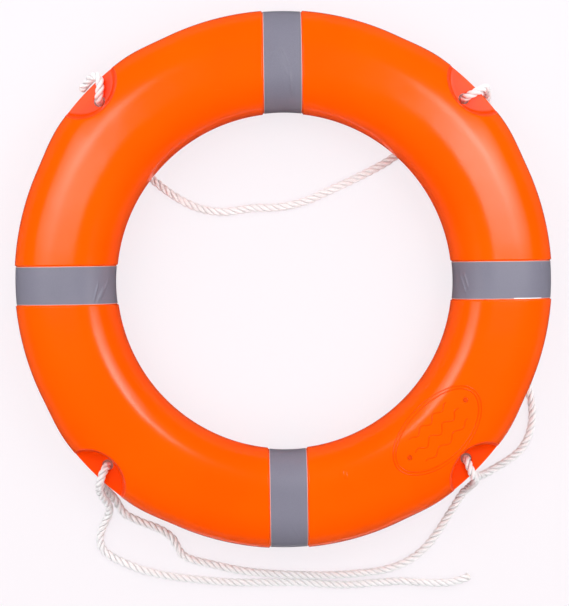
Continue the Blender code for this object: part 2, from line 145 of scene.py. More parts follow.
# Each crease: start and end as (metres beside the tape's middle, degrees round the tube), width, height
TAPE_CREASES = {
    "tape_right": [
        ((0.010, 156), (-0.018, 145), 0.0024, 0.00120),
        ((0.011, 149), (-0.011, 142), 0.0024, 0.00110),
        ((0.022, 42), (0.011, 38), 0.0024, 0.00110),
    ],
    "tape_top": [
        ((0.0147, 89), (0.0026, 74), 0.0018, 0.00070),
        ((0.0026, 74), (-0.0082, 105), 0.0015, 0.00080),
        ((-0.0082, 105), (-0.0122, 147), 0.0014, 0.00110),
        ((0.004, 88), (-0.0070, 118), 0.0015, 0.00060),
    ],
    "tape_left": [
        ((-0.0113, 157), (0.0236, 137), 0.0019, 0.00120),
        ((0.0000, 148), (0.0236, 135), 0.0017, 0.00110),
        ((-0.0060, 140), (0.0236, 131), 0.0024, 0.00110),
    ],
    "tape_bottom": [
        ((-0.006, 150), (0.004, 174), 0.0014, 0.00040),
        ((0.014, 40), (0.004, 60), 0.0014, 0.00020),
    ],
}

MARK_ANGLE = 315.0
MARK_MIDDLE_RADIUS = 0.2823
MARK_LENGTH = 0.1506
MARK_WIDTH = 0.0816
MARK_LINE_RADIUS = 0.0009
MARK_LINE_SUNK = 0.0002
MARK_LINE_SPACING = 0.0040
MARK_STEPS = 240
BEAD_SIDES = 10
# An open bead narrows over its last loops, to a blunt end
BEAD_TAPER = 3
BEAD_BLUNTNESS = 0.3
WAVE_LENGTH = 0.026
WAVE_STEPS = 180
WAVE_FADE = 6
# Waves in the mark: metres outwards from its middle, half length, half height
MARK_WAVES = [
    (0.018, 0.039, 0.0034),
    (0.0, 0.043, 0.0044),
    (-0.018, 0.039, 0.0034),
]
GATE_ANGLE = -73.5
GATE_RADIUS = 0.2655
GATE_HALF_LENGTH = 0.0068
GATE_HALF_WIDTH = 0.0034
GATE_HEIGHT = 0.0007
GATE_TURN = math.radians(-76)
GATE_SIDES = 40
# From its middle outwards: shares of its size and of its height
GATE_PROFILE = (
    (0.001, 1.0),
    (0.35, 0.96),
    (0.60, 0.86),
    (0.80, 0.62),
    (0.93, 0.25),
    (1.0, -0.2),
    (1.02, -1.2),
)

CURVE_SAMPLES = 12
ROPE_STEP = 0.0016
ROPE_EASINGS = 2
STRAND_RADIUS = 0.00277
STRAND_OFFSET = 0.00287
STRAND_FLATTENING = 1.12
# Degrees from a strand's middle, for one half of it, and where it dips into the valley beside it
STRAND_ANGLES = (*np.linspace(0, 46, 6), 52.0, 56.5, 59.2)
VALLEY_ANGLES = (40, 60)
LAY_PITCH = 0.0295
# The lay is uneven: how far it turns, in radians, and the rates of that, in radians per metre
LAY_UNEVENNESS = 0.18
LAY_WAVE_RATE = 61.0
LAY_DRIFT = 2.0
LAY_DRIFT_RATE = 17.0
FIBRE_STRETCH = 14.0
SEAL_LENGTH = 0.009
SEAL_RADIUS = 0.0050
SEAL_SWELLING = 0.06
CAP_LENGTH = 0.0035
CAP_LEAST_SIZE = 0.08

# Colors: where a material has two, it goes from one to the other
SHELL_COLORS = ((1.0, 0.092, 0.0003), (1.0, 0.103, 0.0005))
SHELL_SPECK_COLOR = (0.86, 0.072, 0.0004)
SHELL_SCRATCH_COLOR = (1.0, 0.22, 0.03)
# Painted shade: the scoops' webs and walls are darker and redder, as shade and light bounced in a recess
# make them
SCOOP_SHADE_COLOR = (0.98, 0.054, 0.0003)
# Distances past a scoop's wall, between which its painted shade gives way to the shell's color
SCOOP_COLOR_ENDS = (0.0003, 0.0012)
# Painted shade: a darker copy of the shell's colors for the oval mark's raised lines, to set them off
MARK_SHADE_COLORS = ((0.80, 0.066, 0.001), (0.90, 0.079, 0.001))
PLUG_COLORS = ((0.70, 0.056, 0.0008), (0.80, 0.068, 0.0012))
TAPE_COLORS = ((0.163, 0.164, 0.210), (0.186, 0.188, 0.238))
TAPE_BEAD_COLOR = (0.218, 0.220, 0.271)
TAPE_CELL_COLOR = (0.131, 0.131, 0.163)
TAPE_BORDER_COLOR = (0.56, 0.38, 0.33)
TAPE_BACKING_COLOR = (0.95, 0.93, 0.93)
ROPE_COLORS = ((0.77, 0.80, 0.80), (0.90, 0.925, 0.92))
ROPE_SOIL_COLOR = (0.86, 0.86, 0.84)
# Painted shade in the valleys between the rope's strands
ROPE_VALLEY_SHADE_COLOR = (0.44, 0.43, 0.43)
ROPE_MELTED_COLOR = (0.72, 0.68, 0.62)
FOAM_COLORS = ((0.80, 0.70, 0.42), (0.62, 0.52, 0.28))
FLOOR_COLORS = ((0.77, 0.75, 0.77), (0.79, 0.77, 0.79))
BACKGROUND_COLOR = (0.982, 0.939, 0.974)
# Painted shadow on the floor under the ring, dark and reddish as with light bounced off the orange shell
UNDER_RING_SHADOW_COLOR = (0.26, 0.075, 0.05)

FLOOR_SIZE = 8.0
FLOOR_DROP = 0.0002
FLOOR_GLOW = 0.78
FLOOR_IN_REFLECTIONS = 0.05
# Distances from the ring's axis, between which the glow turns to painted shadow under the ring and back
UNDER_RING_FROM = (0.236, 0.250)
UNDER_RING_TO = (0.356, 0.366)
# Fills, wide lights with no highlight of their own: name, strength, where it comes from, width in degrees
FILLS = [("ceiling_fill", 3.6, (0.0, 0.6, 1.0), 150), ("front_fill", 0.8, (0.0, -1.0, 0.55), 110)]
FILL_COLOR = (1.0, 0.94, 0.96)
# Softboxes: name, side of the ring, power in watts, distance over which it fades outwards, and how far
# it reaches towards +Y. Each is brightest near its inner edge, and widens away from the ring
SOFTBOXES = [("right_softbox", 1, 50.0, 0.42, 0.445), ("left_softbox", -1, 30.5, 0.55, 0.495)]
SOFTBOX_HEIGHT = 1.2
SOFTBOX_X = (0.33, 1.60)
SOFTBOX_Y = (0.0, 1.15)
SOFTBOX_WIDENS_FROM = 0.65
SOFTBOX_WIDENING = 0.85
# The dimmer borders of both: width, and strength at the border itself
SOFTBOX_INNER_BORDER = (0.20, 0.25)
SOFTBOX_LOWER_BORDER = (0.28, 0.3)
SOFTBOX_UPPER_BLUR = 0.08

# Camera: nearly straight above, its axis tilted a little to the lower right of the picture. The
# photograph is a part of the frame that does not lie in its middle
CAMERA_PLACE = Vector((-0.03, -0.01, 2.0555))
CAMERA_AXIS = Vector((0.0449, -0.0501, -1.0))
CAMERA_TURN = math.radians(-0.758)
CAMERA_SENSOR = 36.0
CAMERA_LENS = 88.05
CAMERA_SHIFT = (-0.0762, 0.0997)
CAMERA_CLIP = (0.05, 20.0)


def make_camera():
    data = bpy.data.cameras.new("camera")
    camera = bpy.data.objects.new("camera", data)
    bpy.context.scene.collection.objects.link(camera)
    back = -CAMERA_AXIS.normalized()
    right = Vector((-math.sin(CAMERA_TURN), math.cos(CAMERA_TURN), 0.0)).cross(back).normalized()
    up = back.cross(right)
    turn = Matrix((right, up, back)).transposed().to_4x4()
    camera.matrix_world = Matrix.Translation(CAMERA_PLACE) @ turn
    data.sensor_width = CAMERA_SENSOR
    data.lens = CAMERA_LENS
    data.shift_x, data.shift_y = CAMERA_SHIFT
    data.clip_start, data.clip_end = CAMERA_CLIP
    bpy.context.scene.camera = camera


make_camera()


# Mesh helpers


def new_object(name, mesh, material, place=None):
    piece = bpy.data.objects.new(name, mesh)
    bpy.context.scene.collection.objects.link(piece)
    if place is not None:
        piece.matrix_world = place
    if material is not None:
        mesh.materials.append(material)
    return piece


def ride(piece, slot, *replaced):
    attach(piece, "root")
    if replaced:
        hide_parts(*replaced)
    return piece


def grid_faces(count, around, closed):
    """Quads between count loops of around points each. The last loop joins the first if closed."""
    first = np.arange(count if closed else count - 1)[:, None] * around
    second = (first + around) % (count * around)
    here = np.arange(around)[None, :]
    there = (here + 1) % around
    corners = (first + here, second + here, second + there, first + there)
    return np.stack([c.reshape(-1) for c in corners], axis=1)


def tube_faces(count, around, base=0):
    """The same for loops that start at the point base, with both ends closed."""
    last = base + (count - 1) * around
    ends = [list(range(base, base + around)), list(range(last + around - 1, last - 1, -1))]
    return (grid_faces(count, around, closed=False) + base).tolist() + ends


def circle(sides):
    return [math.tau * step / sides for step in range(sides)]


def mesh_of(name, points, faces, smooth=True):
    mesh = bpy.data.meshes.new(name)
    mesh.from_pydata(np.asarray(points).reshape(-1, 3).tolist(), [], [list(map(int, f)) for f in faces])
    shape = bmesh.new()
    shape.from_mesh(mesh)
    bmesh.ops.recalc_face_normals(shape, faces=shape.faces)
    shape.to_mesh(mesh)
    shape.free()
    if smooth:
        mesh.shade_smooth()
    return mesh


def add_attribute(mesh, name, values):
    """A number for each point of the mesh, for its material."""
    layer = mesh.attributes.new(name, "FLOAT", "POINT")
    layer.data.foreach_set("value", np.asarray(values, dtype=np.float32).reshape(-1))


def applied(piece):
    """The piece's mesh with its modifiers made permanent."""
    bpy.context.view_layer.update()
    graph = bpy.context.evaluated_depsgraph_get()
    mesh = bpy.data.meshes.new_from_object(piece.evaluated_get(graph))
    piece.modifiers.clear()
    piece.data = mesh
    return mesh


# The ring's surface as a field: negative inside, and about the distance from the surface near it


def smooth_max(a, b, width):
    blend = np.clip(1 - np.abs(a - b) / width, 0, None)
    return np.maximum(a, b) + blend * blend * width / 4


def smooth_step(x):
    x = np.clip(x, 0, 1)
    return x * x * (3 - 2 * x)


def from_eyelet(x, y):
    """Angle round the ring's axis from the nearest eyelet, from -45 to 45 degrees, in radians."""
    return np.mod(np.arctan2(y, x), math.pi / 2) - math.pi / 4


def torus_field(x, y, z):
    """The tube without its grooves and scoops."""
    n = SECTION_EXPONENT
    r = np.hypot(x, y)
    past_flat = (np.abs(from_eyelet(x, y)) - BULGE_FLAT_ANGLE) / (BULGE_END_ANGLE - BULGE_FLAT_ANGLE)
    width = SHOULDER_WIDTH + EYELET_BULGE * (1 - smooth_step(past_flat)) * (r > TUBE_RADIUS)
    across = np.clip(np.abs(r - TUBE_RADIUS) - LAND_WIDTH / 2, 0, None) / width
    up = np.abs(z) / HALF_HEIGHT
    size = np.clip((across**n + up**n) ** (1 / n), 1e-4, None)
    slope = np.hypot((across / size) ** (n - 1) / width, (up / size) ** (n - 1) / HALF_HEIGHT)
    return (size - 1) / np.clip(slope, LEAST_FIELD_SLOPE, None)


def ring_field(x, y, z):
    field = torus_field(x, y, z)
    beside_tape = np.minimum(np.abs(x), np.abs(y))
    into_groove = smooth_step((GROOVE_HALF_WIDTH - beside_tape) / GROOVE_LIP + 0.5)
    field = field + GROOVE_DEPTH * into_groove
    seam = np.exp(-((z / SEAM_HALF_WIDTH) ** 2))
    field = field - SEAM_HEIGHT * seam * (1 - into_groove)
    r, angle = np.hypot(x, y), from_eyelet(x, y)
    from_axis = np.hypot(r * np.cos(angle) - SCOOP_CENTRE_RADIUS, r * np.sin(angle))
    wall = SCOOP_RADIUS + (np.abs(z) - HALF_WEB) * math.tan(SCOOP_DRAFT)
    from_wall = (from_axis - wall) * math.cos(SCOOP_DRAFT)
    for side in (1, -1):
        scoop = smooth_max(from_wall, HALF_WEB - side * z, CORNER_ROUNDING)
        field = smooth_max(field, -scoop, EDGE_ROUNDING)
    return field


def above_floor(points):
    """The ring's points, with none of them below the floor that it lies on."""
    below = -(points[..., 1] * math.sin(LEAN) + points[..., 2] * math.cos(LEAN) + RING_CENTRE_Z)
    points[..., 2] += np.clip(below, 0, None) / math.cos(LEAN)
    return points


# Directions round the tube's section and lines round the ring, closer together where there is detail


def section_angles():
    upper = [0.0, 0.25, 0.5, 0.8, 1.2, 1.7, 2.2, 2.6, 2.9, 3.1, 3.3, 3.5, 3.7, 3.9, 4.15, 4.4, 4.7]
    upper += [5.0, 5.3, 5.6, 5.9, 6.25, 6.65, 7.15, 7.8, 8.6, 9.6, 10.8]
    upper += list(np.linspace(12.2, 62.0, 32))
    upper += list(np.linspace(65.0, 117.0, 18))
    upper += list(np.linspace(121.0, 175.0, 15))
    upper += [177.0, 178.4, 179.1, 179.5]
    return np.radians(upper + [180.0] + [360 - a for a in reversed(upper[1:])])


def column_angles():
    """Angles from a tape's middle to the next scoop's, at the tube's middle, for one eighth of the ring."""
    beside = [0.0, 0.005, 0.010, 0.015, 0.020, 0.0235]
    beside += list(np.linspace(0.0250, 0.0280, 9)) + [0.0288, 0.0298]
    angles = [math.asin(b / TUBE_RADIUS) for b in beside]
    angles += list(np.radians(np.linspace(6.1, 36.1, 24)))
    angles += list(np.radians(np.linspace(36.6, 37.4, 3)))
    angles += list(np.radians(np.linspace(37.6, 39.1, 13)))
    angles += list(np.radians(np.linspace(39.4, 45.0, 15)))
    return angles


def ring_columns():
    """(direction of the nearest tape, side of it, angle from it) of every line round the ring."""
    eighth = column_angles()
    columns = []
    for quarter in range(4):
        axis = quarter * math.pi / 2
        columns += [(axis, 1, a) for a in eighth[:-1]]
        columns += [(axis + math.pi / 2, -1, a) for a in reversed(eighth[1:])]
    return np.array(columns)


def on_column(axis, side, angle, r):
    """x and y at a distance r from the ring's axis, on lines that run parallel over the tapes."""
    near = np.minimum(angle, PARALLEL_ANGLE)
    warp = np.arcsin(np.clip(TUBE_RADIUS * np.sin(near) / r, -1, 1)) - near
    fade = 1 - smooth_step((angle - PARALLEL_ANGLE) / (PARALLEL_FADE_ANGLE - PARALLEL_ANGLE))
    at = axis + side * (angle + warp * fade)
    return r * np.cos(at), r * np.sin(at)


def traced(field, place, low=0.001, high=0.080, steps=34):
    """Distances from the tube's middle at which the field is zero."""
    low = np.full(place(low)[0].shape, low)
    high = np.full_like(low, high)
    for _ in range(steps):
        middle = (low + high) / 2
        inside = field(*place(middle)) < 0
        low = np.where(inside, middle, low)
        high = np.where(inside, high, middle)
    return place((low + high) / 2)


def ring_surface(field, columns, angles):
    """Points of the surface, one loop round the tube for each column."""
    axis, side, angle = (columns[:, i][:, None] for i in range(3))
    across, up = np.cos(angles)[None, :], np.sin(angles)[None, :]

    def place(distance):
        r = TUBE_RADIUS + distance * across + 0 * axis
        return (*on_column(axis, side, angle, r), distance * up + 0 * axis)

    return above_floor(np.stack(traced(field, place), axis=-1))


# Materials


class Graph:
    """Short calls for making a tree of shader nodes."""

    def __init__(self, tree):
        self.nodes, self.links = tree.nodes, tree.links

    def put(self, socket, value):
        """Link the socket to the value, or give it the value."""
        if isinstance(value, bpy.types.NodeSocket):
            self.links.new(value, socket)
        elif socket.type == "RGBA":
            socket.default_value = (*value, 1.0)
        else:
            socket.default_value = value

    def node(self, kind, inputs, output=0, **settings):
        made = self.nodes.new("ShaderNode" + kind)
        for key, value in settings.items():
            setattr(made, key, value)
        for key, value in inputs.items():
            self.put(made.inputs[key], value)
        return made.outputs[output]

    def axes(self, vector):
        made = self.nodes.new("ShaderNodeSeparateXYZ")
        self.links.new(vector, made.inputs[0])
        return made.outputs

    def math(self, operation, *values):
        return self.node("Math", dict(enumerate(values)), operation=operation)

    def span(self, value, low, high, to_low=0.0, to_high=1.0):
        inputs = {
            "Value": value,
            "From Min": low,
            "From Max": high,
            "To Min": to_low,
            "To Max": to_high,
        }
        return self.node("MapRange", inputs)


class MaterialGraph(Graph):
    """The nodes of a material, with its shader and the object's own coordinates."""

    def __init__(self, name):
        self.material = bpy.data.materials.new(name)
        self.material.use_nodes = True
        super().__init__(self.material.node_tree)
        self.shader = self.nodes["Principled BSDF"]
        self.object = self.nodes.new("ShaderNodeTexCoord").outputs["Object"]

    def noise(self, scale, detail=2.0, roughness=0.5, vector=None, distortion=0.0):
        inputs = {
            "Vector": vector or self.object,
            "Scale": scale,
            "Detail": detail,
            "Roughness": roughness,
            "Distortion": distortion,
        }
        return self.node("TexNoise", inputs)

    def stretched(self, scale, turn):
        return self.node("Mapping", {"Vector": self.object, "Scale": scale, "Rotation": turn})

    def attribute(self, name, output="Fac"):
        return self.node("Attribute", {}, output, attribute_name=name)

    def mix(self, factor, a, b):
        made = self.nodes.new("ShaderNodeMix")
        made.data_type = "RGBA"
        sockets = {socket.identifier: socket for socket in made.inputs}
        for key, value in (("Factor_Float", factor), ("A_Color", a), ("B_Color", b)):
            self.put(sockets[key], value)
        return next(s for s in made.outputs if s.identifier == "Result_Color")

    def bump(self, height, strength, distance, normal=None):
        inputs = {"Height": height, "Strength": strength, "Distance": distance}
        if normal is not None:
            inputs["Normal"] = normal
        return self.node("Bump", inputs)

    def finish(self, color, roughness, normal, **values):
        """Give the shader its inputs. An underscore stands for a space in an input's name."""
        values = {"Base_Color": color, "Roughness": roughness, "Normal": normal, **values}
        for key, value in values.items():
            self.put(self.shader.inputs[key.replace("_", " ")], value)
        return self.material


def in_scoop(g):
    """1 on the webs and the walls over them, and 0 elsewhere: painted shade and roughness go there."""
    axes = g.axes(g.node("VectorMath", {0: g.object}, operation="ABSOLUTE"))
    middle = -SCOOP_CENTRE_RADIUS / math.sqrt(2)
    x, y = (g.math("ADD", axes[axis], middle) for axis in ("X", "Y"))
    squared = g.math("MULTIPLY_ADD", x, x, g.math("MULTIPLY", y, y))
    wall = g.math("MULTIPLY_ADD", axes["Z"], math.tan(SCOOP_DRAFT), SCOOP_RADIUS)
    past_wall = g.math("SUBTRACT", g.math("POWER", squared, 0.5), wall)
    return g.span(past_wall, *SCOOP_COLOR_ENDS, 1.0, 0.0)


def make_shell_material(name, colors):
    g = MaterialGraph(name)
    cloud = g.noise(7.0, detail=3.0)
    color = g.mix(g.span(cloud, 0.35, 0.65), *colors)
    speck = g.span(g.noise(1400.0, detail=1.0), 0.62, 0.80)
    color = g.mix(g.math("MULTIPLY", speck, 0.25), color, SHELL_SPECK_COLOR)
    drawn_out = g.stretched((1.0, 16.0, 1.0), (0, 0, 0.5))
    scratches = g.span(g.noise(30.0, vector=drawn_out, distortion=0.4), 0.715, 0.76)
    color = g.mix(g.math("MULTIPLY", scratches, 0.08), color, SHELL_SCRATCH_COLOR)
    scoop = in_scoop(g)
    # Painted shade in the scoops, darker and redder, mixed in over the webs and walls
    color = g.mix(g.math("MULTIPLY", scoop, 0.65), color, SCOOP_SHADE_COLOR)
    wipe = g.noise(26.0, detail=4.0, vector=g.stretched((1.0, 2.5, 1.0), (0, 0, 1.1)))
    roughness = g.span(wipe, 0.3, 0.7, 0.150, 0.185)
    roughness = g.math("ADD", roughness, g.math("MULTIPLY", scratches, 0.08))
    roughness = g.math("MULTIPLY_ADD", scoop, 0.20, roughness)
    peel = g.noise(620.0)
    normal = g.bump(peel, 0.10, 0.0004)
    sag = g.noise(24.0, detail=1.0)
    normal = g.bump(sag, 0.25, 0.0016, normal)
    normal = g.bump(scratches, -0.05, 0.0003, normal)
    return g.finish(color, roughness, normal, IOR=1.5, Specular_IOR_Level=0.56)


def make_tape_material():
    g = MaterialGraph("reflective_tape")
    beads = g.noise(2600.0, detail=1.0)
    inputs = {"Vector": g.object, "Scale": 330.0}
    cells = g.node("TexVoronoi", inputs, "Distance", feature="DISTANCE_TO_EDGE")
    cell_edge = g.span(cells, 0.02, 0.07, 1.0, 0.0)
    color = g.mix(g.span(g.noise(11.0, detail=3.0), 0.35, 0.65), *TAPE_COLORS)
    color = g.mix(g.span(beads, 0.35, 0.75), color, TAPE_BEAD_COLOR)
    color = g.mix(g.math("MULTIPLY", cell_edge, 0.10), color, TAPE_CELL_COLOR)
    color = g.mix(g.attribute("border"), color, TAPE_BORDER_COLOR)
    color = g.mix(g.attribute("backing"), color, TAPE_BACKING_COLOR)
    roughness = g.span(beads, 0.3, 0.7, 0.36, 0.50)
    normal = g.bump(beads, 0.06, 0.0002)
    normal = g.bump(g.noise(60.0), 0.12, 0.0008, normal)
    coat = {"Coat_Weight": 0.25, "Coat_Roughness": 0.22}
    return g.finish(color, roughness, normal, Specular_IOR_Level=0.5, **coat)


def make_rope_material():
    g = MaterialGraph("white_polypropylene_rope")
    yarns = g.noise(900.0, detail=3.0, roughness=0.6, vector=g.attribute("fibre", "Vector"))
    soil = g.noise(45.0, detail=3.0)
    color = g.mix(g.span(yarns, 0.30, 0.68), *ROPE_COLORS)
    color = g.mix(g.span(soil, 0.50, 0.75, 0.0, 0.20), color, ROPE_SOIL_COLOR)
    # Painted shade: the valleys between the strands are darker grey
    color = g.mix(g.math("MULTIPLY", g.attribute("valley"), 0.62), color, ROPE_VALLEY_SHADE_COLOR)
    melted = g.attribute("melted")
    color = g.mix(g.math("MULTIPLY", melted, 0.6), color, ROPE_MELTED_COLOR)
    roughness = g.math("MULTIPLY_ADD", melted, -0.2, g.span(yarns, 0.3, 0.7, 0.62, 0.48))
    normal = g.bump(yarns, 0.55, 0.0005)
    return g.finish(color, roughness, normal, Sheen_Weight=0.15, Specular_IOR_Level=0.4)


def make_plug_material():
    g = MaterialGraph("orange_plug_polyethylene")
    cloud = g.noise(300.0)
    color = g.mix(g.span(cloud, 0.35, 0.65), *PLUG_COLORS)
    roughness = g.span(cloud, 0.3, 0.7, 0.45, 0.6)
    return g.finish(color, roughness, g.bump(cloud, 0.12, 0.0003), Specular_IOR_Level=0.3)


SHELL = make_shell_material("orange_polyethylene", SHELL_COLORS)
# A shaded copy of the shell's material: painted shade on the oval mark's raised lines
SHADED_MARK_SHELL = make_shell_material("shaded_orange_polyethylene", MARK_SHADE_COLORS)
PLUG = make_plug_material()
TAPE = make_tape_material()
ROPE = make_rope_material()


# Grab rope: the CAD model's route, as three strands laid together


def placed(*points):
    """Points of the route. Those without a height lie on the floor."""
    return [Vector((*point, ROPE_RADIUS)[:3]) for point in points]


def at_eyelet(name, *offsets):
    """Points by their distances from an eyelet's centre: outwards, anticlockwise and up."""
    turn_to = RING_PLACE @ Matrix.Rotation(math.radians(EYELET_ANGLES[name]), 4, "Z")
    return [turn_to @ Vector((EYELET_RADIUS + out, side, up)) for out, side, up in offsets]


# Stretches of the rope, by CAD node. Neighbours share a point
ROPE_ROUTE = {
    "rope_end_top_left": at_eyelet(
        "top_left",
        (0.0302, 0.0066, -0.0195),
        (0.0304, -0.0018, -0.0130),
        (0.0296, -0.0103, -0.0060),
        (0.0282, -0.0166, 0.0010),
        (0.0242, -0.0210, 0.0082),
        (0.0174, -0.0198, 0.0114),
        (0.0108, -0.0138, 0.0122),
        (0.0044, -0.0046, 0.0098),
        (0.0012, -0.0010, 0.0042),
        (0.0008, 0.0000, -0.0060),
        (0.0024, 0.0000, -0.0190),
        (0.0030, 0.0000, -0.0310),
        (0.0008, 0.0000, -0.0420),
    )
    + placed(
        (-0.2390, 0.2335, 0.0095),
        (-0.2305, 0.2235),
        (-0.2277, 0.2192),
    ),
    "rope_crossing_left": placed(
        (-0.2277, 0.2192),
        (-0.2248, 0.2148),
        (-0.1828, 0.1469),
        (-0.1781, 0.1428),
    ),
    "rope_loop_top": placed(
        (-0.1781, 0.1428),
        (-0.1729, 0.1382),
        (-0.1541, 0.1236),
        (-0.1328, 0.1106),
        (-0.1070, 0.1009),
        (-0.0796, 0.0980),
        (-0.0438, 0.1028),
        (-0.0053, 0.1039),
        (0.0279, 0.1110),
        (0.0584, 0.1236),
        (0.0890, 0.1373),
        (0.1195, 0.1518),
        (0.1415, 0.1634),
        (0.1493, 0.1685),
    ),
    "rope_crossing_right": placed(
        (0.1493, 0.1685),
        (0.1570, 0.1737),
        (0.2185, 0.2190),
        (0.2240, 0.2232),
    ),
    "rope_loop_right": placed(
        (0.2240, 0.2232),
        (0.2285, 0.2268),
        (0.2370, 0.2344, 0.0095),
    )
    + at_eyelet(
        "top_right",
        (0.0008, 0.0000, -0.0420),
        (0.0030, 0.0000, -0.0310),
        (0.0024, 0.0000, -0.0190),
        (0.0008, 0.0000, -0.0060),
        (0.0012, 0.0002, 0.0042),
        (0.0042, -0.0010, 0.0094),
        (0.0100, -0.0031, 0.0119),
        (0.0179, -0.0059, 0.0118),
        (0.0250, -0.0083, 0.0085),
        (0.0304, -0.0100, 0.0012),
        (0.0310, -0.0150, -0.0085),
        (0.0288, -0.0205, -0.0205),
    )
    + placed(
        (0.2810, 0.2230, 0.0215),
        (0.2895, 0.2105, 0.0100),
        (0.2985, 0.1955),
        (0.3120, 0.1700),
        (0.3270, 0.1380),
        (0.3405, 0.0980),
        (0.3490, 0.0550),
        (0.3520, 0.0080),
        (0.3510, -0.0400),
        (0.3475, -0.0830),
        (0.3415, -0.1200),
        (0.3379, -0.1487),
        (0.3417, -0.1683),
        (0.3433, -0.1866),
        (0.3414, -0.2055),
        (0.3354, -0.2237),
        (0.3226, -0.2415),
        (0.3065, -0.2533),
        (0.2940, -0.2605),
    ),
    "rope_loop_bottom": placed(
        (0.2940, -0.2605),
        (0.2841, -0.2661),
        (0.2742, -0.2707, 0.0090),
    )
    + at_eyelet(
        "bottom_right",
        (0.0370, -0.0055, -0.0355),
        (0.0271, -0.0073, -0.0262),
        (0.0188, -0.0056, -0.0192),
        (0.0096, -0.0034, -0.0145),
        (0.0040, -0.0014, -0.0095),
        (0.0014, -0.0004, -0.0030),
        (0.0016, -0.0006, 0.0045),
        (0.0038, -0.0020, 0.0094),
        (0.0088, -0.0046, 0.0120),
        (0.0148, -0.0073, 0.0122),
        (0.0218, -0.0095, 0.0103),
        (0.0272, -0.0112, 0.0046),
        (0.0313, -0.0125, -0.0040),
        (0.0345, -0.0147, -0.0130),
        (0.0367, -0.0177, -0.0225),
    )
    + placed(
        (0.2537, -0.2848, 0.0205),
        (0.2509, -0.2899, 0.0100),
        (0.2454, -0.2956),
        (0.2291, -0.3204),
        (0.2112, -0.3476),
        (0.1927, -0.3712),
        (0.1740, -0.3866),
        (0.1508, -0.3980),
        (0.1241, -0.4044),
        (0.0877, -0.4076),
        (0.0429, -0.4087),
        (0.0010, -0.4065),
        (-0.0379, -0.4035),
        (-0.0705, -0.3988),
        (-0.1090, -0.3894),
        (-0.1348, -0.3825),
        (-0.1477, -0.3755),
        (-0.1544, -0.3647),
        (-0.1605, -0.3528),
        (-0.1707, -0.3437),
        (-0.1865, -0.3355),
        (-0.2024, -0.3294),
        (-0.2130, -0.3244),
    ),
    "rope_tail": placed(
        (-0.2130, -0.3244),
        (-0.2228, -0.3192),
        (-0.2305, -0.3109, 0.0070),
        (-0.2349, -0.3012, 0.0100),
        (-0.2403, -0.2918, 0.0150),
        (-0.2463, -0.2836, 0.0215),
    )
    + at_eyelet(
        "bottom_left",
        (0.0289, 0.0175, -0.0225),
        (0.0231, 0.0102, -0.0178),
        (0.0162, 0.0046, -0.0152),
        (0.0092, 0.0042, -0.0138),
        (0.0040, 0.0018, -0.0095),
        (0.0014, 0.0006, -0.0030),
        (0.0014, 0.0004, 0.0045),
        (0.0042, 0.0009, 0.0094),
        (0.0098, 0.0024, 0.0120),
        (0.0161, 0.0048, 0.0122),
        (0.0222, 0.0079, 0.0100),
        (0.0281, 0.0112, 0.0042),
        (0.0335, 0.0153, -0.0040),
        (0.0376, 0.0211, -0.0115),
        (0.0406, 0.0284, -0.0190),
    )
    + placed(
        (-0.2473, -0.2988, 0.0250),
        (-0.2459, -0.3073, 0.0165),
        (-0.2476, -0.3160, 0.0095),
        (-0.2515, -0.3243, 0.0058),
        (-0.2556, -0.3327),
        (-0.2594, -0.3418),
        (-0.2607, -0.3519),
        (-0.2595, -0.3611),
        (-0.2547, -0.3685),
        (-0.2439, -0.3771),
        (-0.2288, -0.3849),
        (-0.2052, -0.3950),
        (-0.1726, -0.4038),
        (-0.1238, -0.4113),
        (-0.0757, -0.4159),
        (-0.0270, -0.4169),
        (0.0148, -0.4179),
        (0.0539, -0.4211),
        (0.0805, -0.4225),
        (0.1155, -0.4209),
        (0.1520, -0.4194),
        (0.1787, -0.4209),
        (0.2082, -0.4231),
        (0.2336, -0.4212),
        (0.2541, -0.4138),
    ),
}


def smooth_span(before, start, end, after):
    """Samples from start up to end, on a centripetal Catmull-Rom curve through the four points."""
    knots = [0.0]
    for a, b in ((before, start), (start, end), (end, after)):
        knots.append(knots[-1] + math.sqrt((b - a).length))
    first, last = knots[1], knots[2]

    def mix(a, b, low, high, at):
        return a.lerp(b, (at - low) / (high - low))

    samples = []
    for step in range(CURVE_SAMPLES):
        at = first + (last - first) * step / CURVE_SAMPLES
        a = mix(before, start, knots[0], first, at)
        b = mix(start, end, first, last, at)
        c = mix(end, after, last, knots[3], at)
        samples.append(mix(mix(a, b, knots[0], last, at), mix(b, c, first, knots[3], at), first, last, at))
    return samples


def rope_path():
    """Points every ROPE_STEP along the rope's middle line."""
    points = []
    for stretch in ROPE_ROUTE.values():
        points = points[:-1] + stretch
    padded = [2 * points[0] - points[1]] + points + [2 * points[-1] - points[-2]]
    samples = []
    for span in range(len(points) - 1):
        samples += smooth_span(*padded[span : span + 4])
    line = np.array(samples + [points[-1]])
    steps = np.linalg.norm(np.diff(line, axis=0), axis=1)
    length = np.concatenate([[0.0], np.cumsum(steps)])
    at = np.linspace(0.0, length[-1], int(round(length[-1] / ROPE_STEP)) + 1)
    line = np.stack([np.interp(at, length, line[:, axis]) for axis in range(3)], axis=1)
    for _ in range(ROPE_EASINGS):
        line[1:-1] = line[1:-1] / 2 + (line[:-2] + line[2:]) / 4
    line[:, 2] = np.maximum(line[:, 2], ROPE_RADIUS)
    return line


def frames_along(line):
    """Forward, side and up directions at each point, without any twist from one point to the next."""
    forward = np.gradient(line, axis=0)
    forward /= np.linalg.norm(forward, axis=1)[:, None]
    side = np.cross(forward[0], (0.0, 0.0, 1.0))
    sides = [side / np.linalg.norm(side)]
    for ahead in forward[1:]:
        side = sides[-1] - ahead * np.dot(sides[-1], ahead)
        sides.append(side / np.linalg.norm(side))
    sides = np.array(sides)
    return forward, sides, np.cross(sides, forward)


